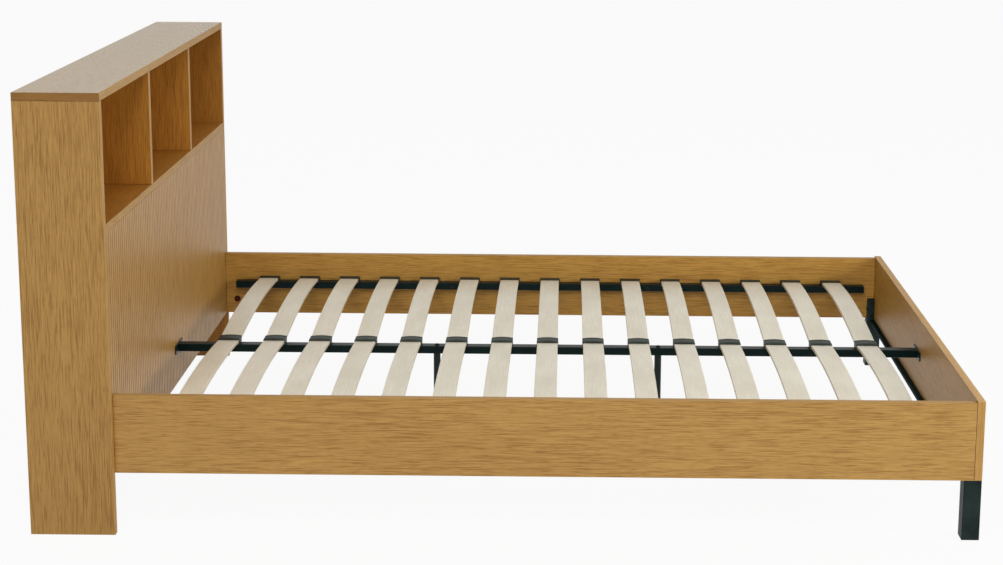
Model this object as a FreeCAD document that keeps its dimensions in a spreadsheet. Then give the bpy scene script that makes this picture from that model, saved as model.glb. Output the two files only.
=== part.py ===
# Bookcase headboard bed for a 1400 x 1900 mm mattress, in millimetres, +Z up.
# The origin is on the floor under the middle of the bed. +X runs from the headboard to the footboard,
# and the side with Y below zero is the left one.
import FreeCAD, Part
import os
import re

import Sketcher
from FreeCAD import Vector

doc = FreeCAD.newDocument("bookcase_bed")
UP = Vector(0, 0, 1)
DOWN = Vector(0, 0, -1)
TOWARDS_FOOT = Vector(1, 0, 0)
TOWARDS_HEAD = Vector(-1, 0, 0)
SIDES = {"left": -1, "right": 1}

# Driving dimensions: alias, value in millimetres (or a count), meaning.
DIMENSIONS = [
    ("board", 18, "thickness of every panel"),
    ("headboard_height", 1000, "floor to the top of the headboard"),
    ("headboard_depth", 190, "front to back"),
    ("shelf_top", 708, "floor to the top of the shelf"),
    ("back_thickness", 3, "hardboard back"),
    ("back_inset", 10, "rear edge of the sides to the back"),
    ("back_groove", 6, "depth of the groove that holds the back"),
    ("rib_count", 78, "vertical ribs across the fluted panel"),
    ("flute_mouth", 4, "width of a flute at the surface"),
    ("flute_floor", 2, "width of a flute at its bottom"),
    ("flute_depth", 3, "depth of a flute"),
    ("rail_length", 1920, "side rail, mattress length plus 20"),
    ("rail_height", 180, "side rail"),
    ("frame_width", 1440, "across the outer faces of the side rails"),
    ("frame_bottom", 140, "floor to the underside of rails and boards"),
    ("footboard_rise", 4, "footboard above the side rails"),
    ("steel_top", 242, "floor to the top of bearers and centre rail"),
    ("tube_height", 20, "bearer and centre rail"),
    ("tube_depth", 30, "bearer and centre rail, across the bed"),
    ("tube_wall", 1.5, "steel tube wall"),
    ("bearer_length", 1850, "tube along each side rail"),
    ("plate_width", 90, "end plate of the centre rail"),
    ("plate_height", 24, "end plate of the centre rail"),
    ("plate_thickness", 3, "end plate of the centre rail"),
    ("tongue_length", 40, "end plate's tongue inside the centre rail"),
    ("slat_count", 15, "slats in each of the two rows"),
    ("slat_pitch", 118, "centre to centre along the bed"),
    ("slat_width", 53, "sprung slat"),
    ("slat_thickness", 8, "sprung slat"),
    ("slat_chord", 684, "straight distance between a slat's ends"),
    ("slat_crown", 17, "rise of a slat's underside over its ends"),
    ("slat_gap", 8, "between the ends of the two rows"),
    ("holder_wall", 3, "plastic under, over and beside a slat"),
    ("cap_length", 34, "end cap, along the slat"),
    ("clip_length", 47, "centre clip, along the slats"),
    ("clip_width", 57, "centre clip, along the bed"),
    ("clip_height", 15, "centre clip at its edges"),
    ("clip_crown", 2.5, "rise of the clip's rounded top"),
    ("peg_radius", 3, "peg under a cap or clip"),
    ("peg_length", 5, "peg under a cap or clip"),
    ("front_leg", 40, "square leg under each footboard corner"),
    ("leg_wall", 2, "wall of the square leg"),
    ("post", 20, "square post that rises from the leg inside the corner"),
    ("post_top", 200, "floor to the top of the post"),
    ("cross_bar_width", 30, "flat tube between the front legs, along the bed"),
    ("cross_bar_height", 12, "flat tube between the front legs"),
    ("centre_leg_radius", 9, "round leg under the centre rail"),
    ("centre_leg_spacing", 574, "between the two centre legs"),
    ("centre_leg_bottom", 24, "floor to the lower end of a centre leg"),
    ("insert_length", 25, "solid plug at each end of a centre leg"),
    ("stud_radius", 4, "threaded stud of a levelling foot"),
    ("stud_top", 60, "floor to the top of the stud"),
    ("stud_clearance", 0.05, "radial play of the stud in its plug"),
    ("foot_radius", 16, "disc of a levelling foot"),
    ("foot_thickness", 5, "disc of a levelling foot"),
    ("nut_radius", 7.5, "corner radius of the foot's hexagon"),
    ("nut_height", 6, "hexagon of a levelling foot"),
    ("dowel_radius", 4, "wooden dowel"),
    ("dowel_in_face", 12, "dowel depth in the face of a board"),
    ("dowel_in_end", 18, "dowel depth in the end of a board"),
    ("bolt_radius", 3, "connecting bolt"),
    ("bolt_height", 182, "floor to the bolt that holds a side rail"),
    ("rail_bolt_length", 55, "bolt from the headboard into a side rail"),
    ("leg_bolt_length", 40, "bolt from the centre rail into a centre leg"),
    ("barrel_nut_radius", 5, "cross nut in a side rail"),
    ("barrel_nut_length", 14, "cross nut in a side rail"),
    ("barrel_nut_setback", 33, "end of a side rail to its cross nut"),
    ("screw_radius", 2.25, "wood screw"),
    ("screw_grip", 12, "wood screw's depth in a board"),
]

# Places worked out from the driving dimensions: name, formula, meaning.
PLACES = [
    ("head_back", "(-headboard_depth - rail_length - board) / 2", "rear of the headboard"),
    ("head_front", "(headboard_depth - rail_length - board) / 2", "front of the headboard"),
    ("foot_inner", "(headboard_depth + rail_length - board) / 2", "inner face of the footboard"),
    ("middle", "(headboard_depth - board) / 2", "middle of the side rails"),
    ("back_face", "head_back + back_inset + back_thickness", "front of the hardboard back"),
    ("rail_outer", "frame_width / 2", "outer face of a side rail"),
    ("rail_inner", "frame_width / 2 - board", "inner face of a side rail"),
    ("bearer_y", "rail_inner - tube_depth / 2", "middle of a slat bearer"),
    ("tube_middle", "steel_top - tube_height / 2", "middle height of the steel tubes"),
    ("row_half", "slat_pitch * (slat_count - 1) / 2", "half the run of slat centres"),
    ("first_slat", "middle - row_half", "middle of the slat next to the headboard"),
    ("slat_seat", "steel_top + holder_wall", "underside of a slat's ends"),
    ("slat_y", "(slat_gap + slat_chord) / 2", "middle of a row of slats"),
    ("slat_radius", "(slat_chord ^ 2 / 4 + slat_crown ^ 2) / (2 * slat_crown)", "slat's underside"),
    ("cap_width", "slat_width + 2 * holder_wall", "cap, along the bed"),
    ("cap_end", "slat_gap / 2 + slat_chord + holder_wall", "closed end of a cap"),
    ("divider_y", "(frame_width + board) / 6", "middle of a divider, for three equal bays"),
    ("fluted_height", "shelf_top - board - frame_bottom", "height of the fluted panel"),
    ("rib_pitch", "frame_width / rib_count", "rib to rib"),
    ("leg_top", "steel_top - tube_height", "top of a centre leg"),
    ("post_middle", "rail_inner - post / 2", "middle of a leg's inner post"),
]


def make_sheet():
    """Spreadsheet with one aliased cell for each driving dimension."""
    sheet = doc.addObject("Spreadsheet::Sheet", "dims")
    for row, (alias, value, meaning) in enumerate(DIMENSIONS, 1):
        sheet.set(f"A{row}", meaning)
        sheet.set(f"B{row}", str(value))
        sheet.setAlias(f"B{row}", alias)
    doc.recompute()
    return sheet


def formula(text):
    """Put each known name in the object that holds it, so that formulas stay short."""
    def qualify(match):
        word = match.group()
        if word in DIMENSION_NAMES:
            return "dims." + word
        return "places." + word if word in PLACE_NAMES else word
    return re.sub(r"[a-z_]\w*", qualify, text)


def make_places():
    """Variable set whose values follow the spreadsheet."""
    places = doc.addObject("App::VarSet", "places")
    for name, text, meaning in PLACES:
        places.addProperty("App::PropertyFloat", name, "Places", meaning)
        places.setExpression(name, re.sub(r"\bplaces\.", "", formula(text)))
    doc.recompute()
    return places


DIMENSION_NAMES = {alias for alias, _, _ in DIMENSIONS}
PLACE_NAMES = {name for name, _, _ in PLACES}
dims = make_sheet()
places = make_places()
pieces = {}


def bind(thing, **formulas):
    """Bind properties of an object to formulas in millimetres."""
    for name, text in formulas.items():
        thing.setExpression(name, formula(text))
    return thing


def put(thing, x="0", y="0", z="0"):
    """Bind an object's position to three formulas."""
    for axis, text in zip("xyz", (x, y, z)):
        thing.setExpression(f"Placement.Base.{axis}", formula(text))
    return thing


def piece(thing, name):
    """Register an object as a finished piece under the name that its file gets."""
    thing.Label = name
    pieces[name] = thing
    return thing


# ---- building blocks ----

def block(name, size, corner):
    """Rectangular block with its lowest corner at a place."""
    blank = doc.addObject("Part::Box", name)
    bind(blank, Length=size[0], Width=size[1], Height=size[2])
    return put(blank, *corner)


def rod(name, radius, length, x="0", y="0", z="0"):
    """Upright cylinder that stands on a point."""
    blank = doc.addObject("Part::Cylinder", name)
    bind(blank, Radius=radius, Height=length)
    return put(blank, x, y, z)


def fuse(name, shapes):
    joined = doc.addObject("Part::MultiFuse", name)
    joined.Shapes = shapes
    return joined


def cut(name, base, tool):
    difference = doc.addObject("Part::Cut", name)
    difference.Base = base
    difference.Tool = tool
    return difference


def group(name, shapes):
    """Separate solids of one kind, kept together in one object."""
    members = doc.addObject("Part::Feature", name)
    members.Shape = Part.makeCompound(shapes)
    return members


def new_body(name):
    return doc.addObject("PartDesign::Body", name)


def new_sketch(body, role, name, offset="0"):
    """Sketch on one of the body's own origin planes, or at a bound offset from it."""
    sketch = body.newObject("Sketcher::SketchObject", name)
    plane = next(item for item in body.Origin.OriginFeatures if item.Role == role)
    sketch.AttachmentSupport = (plane, [""])
    sketch.MapMode = "FlatFace"
    sketch.setExpression("AttachmentOffset.Base.z", formula(offset))
    return sketch


def add_polygon(sketch, corners):
    """Closed outline through the corners; gives the index of its first line."""
    first = sketch.GeometryCount
    points = [Vector(u, v, 0) for u, v in corners]
    for start, end in zip(points, points[1:] + points[:1]):
        sketch.addGeometry(Part.LineSegment(start, end))
    for index in range(len(points)):
        following = first + (index + 1) % len(points)
        sketch.addConstraint(Sketcher.Constraint("Coincident", first + index, 2, following, 1))
    return first


def add_rectangle(sketch, width, height, centre=None):
    """Rectangle about the sketch's origin, or with its centre at a bound point above and right of it."""
    first = add_polygon(sketch, [(-2, -1), (2, -1), (2, 1), (-2, 1)])
    for offset, direction in enumerate(("Horizontal", "Vertical", "Horizontal", "Vertical")):
        sketch.addConstraint(Sketcher.Constraint(direction, first + offset))
    limit(sketch, Sketcher.Constraint("DistanceX", first, 1, first, 2, 4), width)
    limit(sketch, Sketcher.Constraint("DistanceY", first + 1, 1, first + 1, 2, 2), height)
    if centre is None:
        sketch.addConstraint(Sketcher.Constraint("Symmetric", first, 1, first + 2, 1, -1, 1))
    else:
        across, along = centre
        limit(sketch, Sketcher.Constraint("DistanceX", first, 1, 1), f"{across} - ({width}) / 2")
        limit(sketch, Sketcher.Constraint("DistanceY", first, 1, 1), f"{along} - ({height}) / 2")


def limit(sketch, constraint, text):
    """Add a dimension to a sketch and bind it to a formula."""
    index = sketch.addConstraint(constraint)
    sketch.setExpression(f"Constraints[{index}]", formula(text))


def add_pad(body, sketch, length, both_ways=False):
    pad = body.newObject("PartDesign::Pad", f"{sketch.Name}_pad")
    pad.Profile = sketch
    pad.SideType = "Symmetric" if both_ways else "One side"
    return bind(pad, Length=length)


def add_pocket(body, sketch, length=None, upwards=False):
    """Pocket of a bound depth, or through everything; upwards turns it to the sketch's positive side."""
    pocket = body.newObject("PartDesign::Pocket", f"{sketch.Name}_pocket")
    pocket.Profile = sketch
    pocket.Reversed = upwards
    if length is None:
        pocket.Type = "ThroughAll"
        return pocket
    return bind(pocket, Length=length)


def add_row(body, feature, sketch, axis, pitch, count):
    """Repeat a feature in a row along one axis of its sketch."""
    row = body.newObject("PartDesign::LinearPattern", f"{feature.Name}_row")
    row.Originals = [feature]
    row.Direction = (sketch, [axis])
    row.Mode = "Spacing"
    body.Tip = row
    return bind(row, Offset=pitch, Occurrences=count)


# ---- fasteners, which also cut their own holes ----

def fastener(seat, direction, shank_radius, length, head_radius, head_height):
    """Domed head on the seat point with its shank running on in the given direction."""
    head_top = 0.6 * head_radius
    dome = Part.makeCone(head_top, head_radius, head_height, seat - direction * head_height, direction)
    shank = Part.makeCylinder(shank_radius, length, seat, direction)
    return dome.fuse(shank).removeSplitter()


def screw(seat, direction, through):
    """Wood screw that passes through steel of a given depth and grips the board behind it."""
    length = through + dims.screw_grip
    return fastener(seat, direction, dims.screw_radius, length, 2 * dims.screw_radius, 2)


def bolt(seat, direction, length):
    return fastener(seat, direction, dims.bolt_radius, length, 2 * dims.bolt_radius, 3)


def dowel(joint, into_face):
    """Dowel across a joint, deeper in the board's end than in the face it meets."""
    start = joint - into_face * dims.dowel_in_end
    return Part.makeCylinder(dims.dowel_radius, dims.dowel_in_end + dims.dowel_in_face, start, into_face)


def centre_leg_places():
    half = dims.centre_leg_spacing / 2
    return {"head": places.middle - half, "foot": places.middle + half}


def make_dowels():
    """Dowels of the headboard's joints and of the side rails' ends."""
    half_board = dims.board / 2
    edge_margin = 45
    depths = (places.back_face + edge_margin, places.head_front - edge_margin)
    panel_middle = places.head_front - half_board
    top_joint = dims.headboard_height - dims.board
    dowels = []
    for side in SIDES.values():
        outwards = Vector(0, side, 0)
        for x in depths:
            for z in (dims.shelf_top - half_board, dims.frame_bottom + half_board):
                dowels.append(dowel(Vector(x, side * places.rail_outer, z), outwards))
            dowels.append(dowel(Vector(x, side * (places.rail_outer + half_board), top_joint), UP))
        for z in (360, 500, 640):
            dowels.append(dowel(Vector(panel_middle, side * places.rail_outer, z), outwards))
        rail_middle = side * (places.rail_outer - half_board)
        for z in (dims.frame_bottom + 95, dims.frame_bottom + 145):
            dowels.append(dowel(Vector(places.head_front, rail_middle, z), TOWARDS_HEAD))
            dowels.append(dowel(Vector(places.foot_inner, rail_middle, z), TOWARDS_FOOT))
        for x in depths:
            dowels.append(dowel(Vector(x, side * places.divider_y, dims.shelf_top), DOWN))
            dowels.append(dowel(Vector(x, side * places.divider_y, top_joint), UP))
    for y in (-480, 0, 480):
        dowels.append(dowel(Vector(panel_middle, y, dims.shelf_top - dims.board), UP))
    return dowels


def make_bolts():
    """One bolt through the fluted panel into each side rail, and one down into each centre leg."""
    behind_panel = places.head_front - dims.board
    rail_middle = places.rail_outer - dims.board / 2
    bolts = []
    for side in SIDES.values():
        seat = Vector(behind_panel, side * rail_middle, dims.bolt_height)
        bolts.append(bolt(seat, TOWARDS_FOOT, dims.rail_bolt_length))
    for x in centre_leg_places().values():
        bolts.append(bolt(Vector(x, 0, dims.steel_top), DOWN, dims.leg_bolt_length))
    return bolts


def make_barrel_nuts(bolts):
    """Cross nuts let into the inner faces of the side rails, each around its bolt."""
    x = places.head_front + dims.barrel_nut_setback
    nuts = []
    for side, own_bolt in zip(SIDES.values(), bolts):
        start = Vector(x, side * places.rail_inner, dims.bolt_height)
        nut = Part.makeCylinder(dims.barrel_nut_radius, dims.barrel_nut_length, start, Vector(0, side, 0))
        nuts.append(nut.cut(own_bolt))
    return nuts


def make_screws():
    """Screws that hold the steel parts to the boards."""
    screws = []
    end_margin = 60
    reach = dims.bearer_length / 2 - end_margin
    plate_screw_y = dims.plate_width / 2 - 12
    post_face_x = places.foot_inner - dims.post
    post_face_y = places.rail_inner - dims.post
    for side in SIDES.values():
        outwards = Vector(0, side, 0)
        bearer_face = side * (places.rail_inner - dims.tube_depth)
        for share in (-1, -1 / 3, 1 / 3, 1):
            seat = Vector(places.middle + share * reach, bearer_face, places.tube_middle)
            screws.append(screw(seat, outwards, dims.tube_depth))
        for face, direction in ((places.head_front, TOWARDS_HEAD), (places.foot_inner, TOWARDS_FOOT)):
            seat = Vector(face, side * plate_screw_y, places.tube_middle) - direction * dims.plate_thickness
            screws.append(screw(seat, direction, dims.plate_thickness))
        for z in (dims.frame_bottom + 12, dims.post_top - 12):
            seat = Vector(post_face_x + dims.post / 2, side * post_face_y, z)
            screws.append(screw(seat, outwards, dims.post))
        seat = Vector(post_face_x, side * places.post_middle, (dims.frame_bottom + dims.post_top) / 2)
        screws.append(screw(seat, TOWARDS_FOOT, dims.post))
    for y in (-450, 0, 450):
        seat = Vector(places.foot_inner + dims.board / 2, y, dims.frame_bottom - dims.cross_bar_height)
        screws.append(screw(seat, UP, dims.cross_bar_height))
    return screws


bolt_shapes = make_bolts()
panel_dowels = piece(group("panel_dowels", make_dowels()), "panel_dowels")
frame_bolts = piece(group("frame_bolts", bolt_shapes), "frame_bolts")
barrel_nuts = piece(group("barrel_nuts", make_barrel_nuts(bolt_shapes)), "barrel_nuts")
frame_screws = piece(group("frame_screws", make_screws()), "frame_screws")
joinery = doc.addObject("Part::Compound", "joinery")
joinery.Links = [panel_dowels, frame_bolts, barrel_nuts, frame_screws]


def drilled(name, blank):
    """Finished piece: the blank less the holes of the fasteners that reach it."""
    return piece(cut(name, blank, joinery), name)


# ---- headboard ----

def make_headboard_side(name, side):
    """Full-height side panel with a groove for the back."""
    y = "rail_outer" if side > 0 else "-rail_outer - board"
    blank = block(f"{name}_blank", ("headboard_depth", "board", "headboard_height - board"),
                  ("head_back", y, "0"))
    groove_y = "rail_outer" if side > 0 else "-rail_outer - back_groove"
    groove = block(f"{name}_groove", ("back_thickness", "back_groove", "headboard_height"),
                   ("head_back + back_inset", groove_y, "frame_bottom"))
    drilled(name, cut(f"{name}_grooved", blank, groove))


def make_headboard_top():
    """Top panel that lies over the side panels, grooved underneath for the back."""
    name = "headboard_top"
    blank = block(f"{name}_blank", ("headboard_depth", "frame_width + 2 * board", "board"),
                  ("head_back", "-rail_outer - board", "headboard_height - board"))
    groove = block(f"{name}_groove", ("back_thickness", "frame_width + 2 * back_groove", "back_groove"),
                   ("head_back + back_inset", "-rail_outer - back_groove", "headboard_height - board"))
    drilled(name, cut(f"{name}_grooved", blank, groove))


def make_inner_board(name, z, front):
    """Board between the side panels, from the back to a given front face."""
    drilled(name, block(f"{name}_blank", (f"{front} - back_face", "frame_width", "board"),
                        ("back_face", "-rail_outer", z)))


def make_divider(name, side):
    """Upright between two bays, on the shelf and under the top panel."""
    drilled(name, block(f"{name}_blank",
                        ("head_front - back_face", "board", "headboard_height - board - shelf_top"),
                        ("back_face", f"{side} * divider_y - board / 2", "shelf_top")))


def make_back_panel():
    """Thin back in the grooves of the side panels and of the top."""
    name = "headboard_back_panel"
    height = "headboard_height - board + back_groove - frame_bottom"
    piece(block(name, ("back_thickness", "frame_width + 2 * back_groove", height),
                ("head_back + back_inset", "-rail_outer - back_groove", "frame_bottom")), name)


def make_fluted_panel():
    """Front panel under the shelf with tapered vertical flutes between flat ribs."""
    body = new_body("fluted_panel_blank")
    outline = new_sketch(body, "XY_Plane", "fluted_outline")
    add_rectangle(outline, "board", "frame_width")
    add_pad(body, outline, "fluted_height")
    flute = new_sketch(body, "XY_Plane", "flute_profile")
    first = add_polygon(flute, [(6, -703), (9, -704), (9, -700), (6, -701)])
    mouth, floor = first + 1, first + 3
    for line in (mouth, floor):
        flute.addConstraint(Sketcher.Constraint("Vertical", line))
    flute.addConstraint(Sketcher.Constraint("Equal", first, first + 2))
    limit(flute, Sketcher.Constraint("DistanceY", mouth, 1, mouth, 2, 4), "flute_mouth")
    limit(flute, Sketcher.Constraint("DistanceY", floor, 2, floor, 1, 2), "flute_floor")
    limit(flute, Sketcher.Constraint("DistanceX", mouth, 1, 9), "board / 2")
    limit(flute, Sketcher.Constraint("DistanceX", floor, 1, 6), "board / 2 - flute_depth")
    limit(flute, Sketcher.Constraint("DistanceY", mouth, 1, -704),
          "rib_pitch - rail_outer - flute_mouth / 2")
    pocket = add_pocket(body, flute, upwards=True)
    add_row(body, pocket, flute, "V_Axis", "rib_pitch", "rib_count - 1")
    put(body, "head_front - board / 2", "0", "frame_bottom")
    drilled("headboard_fluted_panel", body)


# ---- board frame ----

def make_side_rail(name, side):
    y = "rail_inner" if side > 0 else "-rail_outer"
    drilled(name, block(f"{name}_blank", ("rail_length", "board", "rail_height"),
                        ("head_front", y, "frame_bottom")))


def make_footboard():
    """Footboard that covers the ends of the side rails."""
    drilled("footboard", block("footboard_blank", ("board", "frame_width", "rail_height + footboard_rise"),
                               ("foot_inner", "-rail_outer", "frame_bottom")))


# ---- steel ----

def make_tube(name, length, y):
    """Rectangular tube along the bed with a row of peg holes through its top wall."""
    body = new_body(f"{name}_tube")
    section = new_sketch(body, "YZ_Plane", f"{name}_section")
    add_rectangle(section, "tube_depth", "tube_height")
    add_rectangle(section, "tube_depth - 2 * tube_wall", "tube_height - 2 * tube_wall")
    add_pad(body, section, length, both_ways=True)
    hole = new_sketch(body, "XY_Plane", f"{name}_peg_hole")
    hole.addGeometry(Part.Circle(Vector(-800, 0, 0), UP, 3))
    limit(hole, Sketcher.Constraint("Radius", 0, 3), "peg_radius")
    limit(hole, Sketcher.Constraint("DistanceX", 0, 3, -800), "-row_half")
    hole.addConstraint(Sketcher.Constraint("PointOnObject", 0, 3, -1))
    pocket = add_pocket(body, hole, upwards=True)
    add_row(body, pocket, hole, "H_Axis", "slat_pitch", "slat_count")
    put(body, "middle", y, "tube_middle")
    drilled(name, body)


def make_rail_bracket(name, face, direction):
    """End plate of the centre rail with a tongue that fills the end of the tube."""
    plate_x = face if direction > 0 else f"{face} - plate_thickness"
    tongue_x = f"{face} + plate_thickness" if direction > 0 else f"{face} - plate_thickness - tongue_length"
    plate = block(f"{name}_plate", ("plate_thickness", "plate_width", "plate_height"),
                  (plate_x, "-plate_width / 2", "tube_middle - plate_height / 2"))
    depth, height = "tube_depth - 2 * tube_wall", "tube_height - 2 * tube_wall"
    tongue = block(f"{name}_tongue", ("tongue_length", depth, height),
                   (tongue_x, f"-({depth}) / 2", f"tube_middle - ({height}) / 2"))
    drilled(name, fuse(f"{name}_welded", [plate, tongue]))


def make_centre_leg(name, x):
    """Round tube with a solid plug at each end: a bolt enters the upper one, a stud the lower one."""
    tube = rod(f"{name}_tube", "centre_leg_radius", "leg_top - centre_leg_bottom", x, "0", "centre_leg_bottom")
    bore = rod(f"{name}_bore", "centre_leg_radius - tube_wall",
               "leg_top - centre_leg_bottom - 2 * insert_length", x, "0", "centre_leg_bottom + insert_length")
    thread = rod(f"{name}_thread", "stud_radius + stud_clearance", "insert_length + 1",
                 x, "0", "centre_leg_bottom - 1")
    drilled(name, cut(f"{name}_hollow", tube, fuse(f"{name}_inside", [bore, thread])))


def make_levelling_foot(name, x):
    """Disc that stands on the floor, with a hexagon and a threaded stud that screws into the leg."""
    disc = rod(f"{name}_disc", "foot_radius", "foot_thickness", x)
    stud = rod(f"{name}_stud", "stud_radius", "stud_top", x)
    hexagon = put(doc.addObject("Part::Prism", f"{name}_hexagon"), x, "0", "foot_thickness")
    bind(hexagon, Circumradius="nut_radius", Height="nut_height")
    piece(fuse(name, [disc, stud, hexagon]), name)


def make_front_leg(name, side):
    """Square tube with a closed foot, and the post inside it that rises into the board corner."""
    body = new_body(f"{name}_tube")
    inwards = "((front_leg - post) / 2 - leg_wall)"
    corner = (f"-1 * {inwards}", f"{-side} * {inwards}")
    outer = new_sketch(body, "XY_Plane", f"{name}_outer")
    add_rectangle(outer, "front_leg", "front_leg")
    add_pad(body, outer, "frame_bottom")
    inner = new_sketch(body, "XY_Plane", f"{name}_inner", "leg_wall")
    add_rectangle(inner, "front_leg - 2 * leg_wall", "front_leg - 2 * leg_wall")
    add_pocket(body, inner, upwards=True)
    post = new_sketch(body, "XY_Plane", f"{name}_post")
    add_rectangle(post, "post", "post", corner)
    add_pad(body, post, "post_top")
    post_bore = new_sketch(body, "XY_Plane", f"{name}_post_bore", "leg_wall")
    add_rectangle(post_bore, "post - 2 * leg_wall", "post - 2 * leg_wall", corner)
    add_pocket(body, post_bore, upwards=True)
    put(body, "foot_inner + board - front_leg / 2", f"{side} * (rail_outer - front_leg / 2)", "0")
    drilled(name, body)


def make_cross_bar():
    """Flat tube between the front legs, under the lower edge of the footboard."""
    body = new_body("leg_cross_bar_tube")
    section = new_sketch(body, "XZ_Plane", "cross_bar_section")
    add_rectangle(section, "cross_bar_width", "cross_bar_height")
    add_rectangle(section, "cross_bar_width - 2 * tube_wall", "cross_bar_height - 2 * tube_wall")
    add_pad(body, section, "frame_width - 2 * front_leg", both_ways=True)
    put(body, "foot_inner + board - cross_bar_width / 2", "0", "frame_bottom - cross_bar_height / 2")
    drilled("leg_cross_bar", body)


# ---- slats and their holders ----

def make_slat(name, index, side):
    """Sprung slat: a strip of even thickness bent to an arc, its ends square to the arc."""
    body = new_body(name)
    profile = new_sketch(body, "YZ_Plane", f"{name}_profile")
    half = dims.slat_chord / 2
    centre = Vector(0, dims.slat_crown - places.slat_radius, 0)
    crown = Vector(0, dims.slat_crown, 0)
    right, left = Vector(half, 0, 0), Vector(-half, 0, 0)
    outer_right = right + (right - centre).normalize() * dims.slat_thickness
    outer_left = left + (left - centre).normalize() * dims.slat_thickness
    profile.addGeometry(Part.Arc(right, crown, left))
    profile.addGeometry(Part.Arc(outer_right, crown + Vector(0, dims.slat_thickness, 0), outer_left))
    profile.addGeometry(Part.LineSegment(left, outer_left))
    profile.addGeometry(Part.LineSegment(right, outer_right))
    rules = [("Coincident", 0, 3, 1, 3), ("Coincident", 2, 1, 0, 2), ("Coincident", 2, 2, 1, 2),
             ("Coincident", 3, 1, 0, 1), ("Coincident", 3, 2, 1, 1), ("PointOnObject", 0, 1, -1),
             ("Symmetric", 0, 1, 0, 2, -2), ("PointOnObject", 0, 3, 2), ("PointOnObject", 0, 3, 3)]
    for rule in rules:
        profile.addConstraint(Sketcher.Constraint(*rule))
    limit(profile, Sketcher.Constraint("DistanceX", 0, 2, 0, 1, 2 * half), "slat_chord")
    limit(profile, Sketcher.Constraint("Radius", 0, places.slat_radius), "slat_radius")
    limit(profile, Sketcher.Constraint("Radius", 1, places.slat_radius + dims.slat_thickness),
          "slat_radius + slat_thickness")
    add_pad(body, profile, "slat_width", both_ways=True)
    put(body, f"first_slat + {index} * slat_pitch", f"{side} * slat_y", "slat_seat")
    return piece(body, name)


def peg(y):
    """Peg under the first cap or clip, reaching through the top wall of a tube."""
    foot = Vector(places.first_slat, y, dims.steel_top - dims.peg_length)
    return Part.makeCylinder(dims.peg_radius, dims.peg_length + dims.holder_wall / 2, foot)


def make_end_cap(slat):
    """Closed cap on the outer end of the first right-hand slat, its top following the slat."""
    near_x = places.first_slat - places.cap_width / 2
    blank = Part.makeBox(places.cap_width, dims.cap_length, dims.tube_depth,
                         Vector(near_x, places.cap_end - dims.cap_length, dims.steel_top))
    axis = Vector(near_x, places.slat_y, places.slat_seat + dims.slat_crown - places.slat_radius)
    skin = places.slat_radius + dims.slat_thickness + dims.holder_wall
    rounded = blank.common(Part.makeCylinder(skin, places.cap_width, axis, TOWARDS_FOOT))
    return rounded.fuse(peg(places.bearer_y)).cut(slat.Shape).removeSplitter()


def make_clip(slats):
    """Clip on the centre rail with a rounded top, holding the inner ends of the first two slats."""
    near = Vector(places.first_slat - dims.clip_width / 2, -dims.clip_length / 2, dims.steel_top)
    height = dims.clip_height + dims.clip_crown
    blank = Part.makeBox(dims.clip_width, dims.clip_length, height, near)
    radius = (dims.clip_width ** 2 / 4 + dims.clip_crown ** 2) / (2 * dims.clip_crown)
    axis = Vector(places.first_slat, near.y, dims.steel_top + height - radius)
    shape = blank.common(Part.makeCylinder(radius, dims.clip_length, axis, Vector(0, 1, 0))).fuse(peg(0))
    for slat in slats:
        shape = shape.cut(slat.Shape)
    return shape.removeSplitter()


def row_of(shape):
    """Copies of a shape at every slat of a row."""
    return [shape.translated(TOWARDS_FOOT * (dims.slat_pitch * index)) for index in range(dims.slat_count)]


# ---- the bed ----

for side_name, side in SIDES.items():
    make_headboard_side(f"headboard_side_{side_name}", side)
    make_divider(f"headboard_divider_{side_name}", side)
    make_side_rail(f"side_rail_{side_name}", side)
    make_tube(f"slat_bearer_{side_name}", "bearer_length", f"{side} * bearer_y")
    make_front_leg(f"front_leg_{side_name}", side)
make_headboard_top()
make_inner_board("headboard_shelf", "shelf_top - board", "head_front")
make_inner_board("headboard_bottom_board", "frame_bottom", "head_front - board")
make_back_panel()
make_fluted_panel()
make_footboard()
make_tube("centre_rail", "rail_length - 2 * plate_thickness", "0")
make_rail_bracket("head_rail_bracket", "head_front", 1)
make_rail_bracket("foot_rail_bracket", "foot_inner", -1)
for end, direction in (("head", -1), ("foot", 1)):
    leg_x = f"middle + {direction} * centre_leg_spacing / 2"
    make_centre_leg(f"centre_leg_{end}", leg_x)
    make_levelling_foot(f"levelling_foot_{end}", leg_x)
make_cross_bar()
slats = {(side_name, index): make_slat(f"slat_{side_name}_{index + 1:02d}", index, side)
         for side_name, side in SIDES.items() for index in range(dims.slat_count)}
doc.recompute()

cap = make_end_cap(slats["right", 0])
opposite_cap = cap.mirror(Vector(0, 0, 0), Vector(0, 1, 0))
piece(group("slat_end_caps", row_of(cap) + row_of(opposite_cap)), "slat_end_caps")
clip = make_clip([slats["left", 0], slats["right", 0]])
piece(group("centre_slat_clips", row_of(clip)), "centre_slat_clips")
doc.recompute()

# ---- checks and files ----

SOLIDS_IN_GROUP = {"slat_end_caps": 2 * dims.slat_count, "centre_slat_clips": dims.slat_count,
                   "frame_bolts": 4, "barrel_nuts": 2, "frame_screws": 21, "panel_dowels": 37}

for thing in doc.Objects:
    if {"Invalid", "Error"} & set(thing.State):
        raise RuntimeError(f"{thing.Name} did not rebuild: {thing.State}")
os.makedirs("parts", exist_ok=True)
for name, thing in pieces.items():
    shape = thing.Shape
    if shape.isNull() or not shape.isValid():
        raise RuntimeError(f"{name} has no valid shape")
    if len(shape.Solids) != SOLIDS_IN_GROUP.get(name, 1):
        raise RuntimeError(f"{name} has {len(shape.Solids)} solids")
    shape.exportStep(f"parts/{name}.step")
print(f"{len(pieces)} pieces written")
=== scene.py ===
"""Bookcase headboard bed: finished boards, slats, steel and stage over its CAD frame. Metres, +Z up."""

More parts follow.
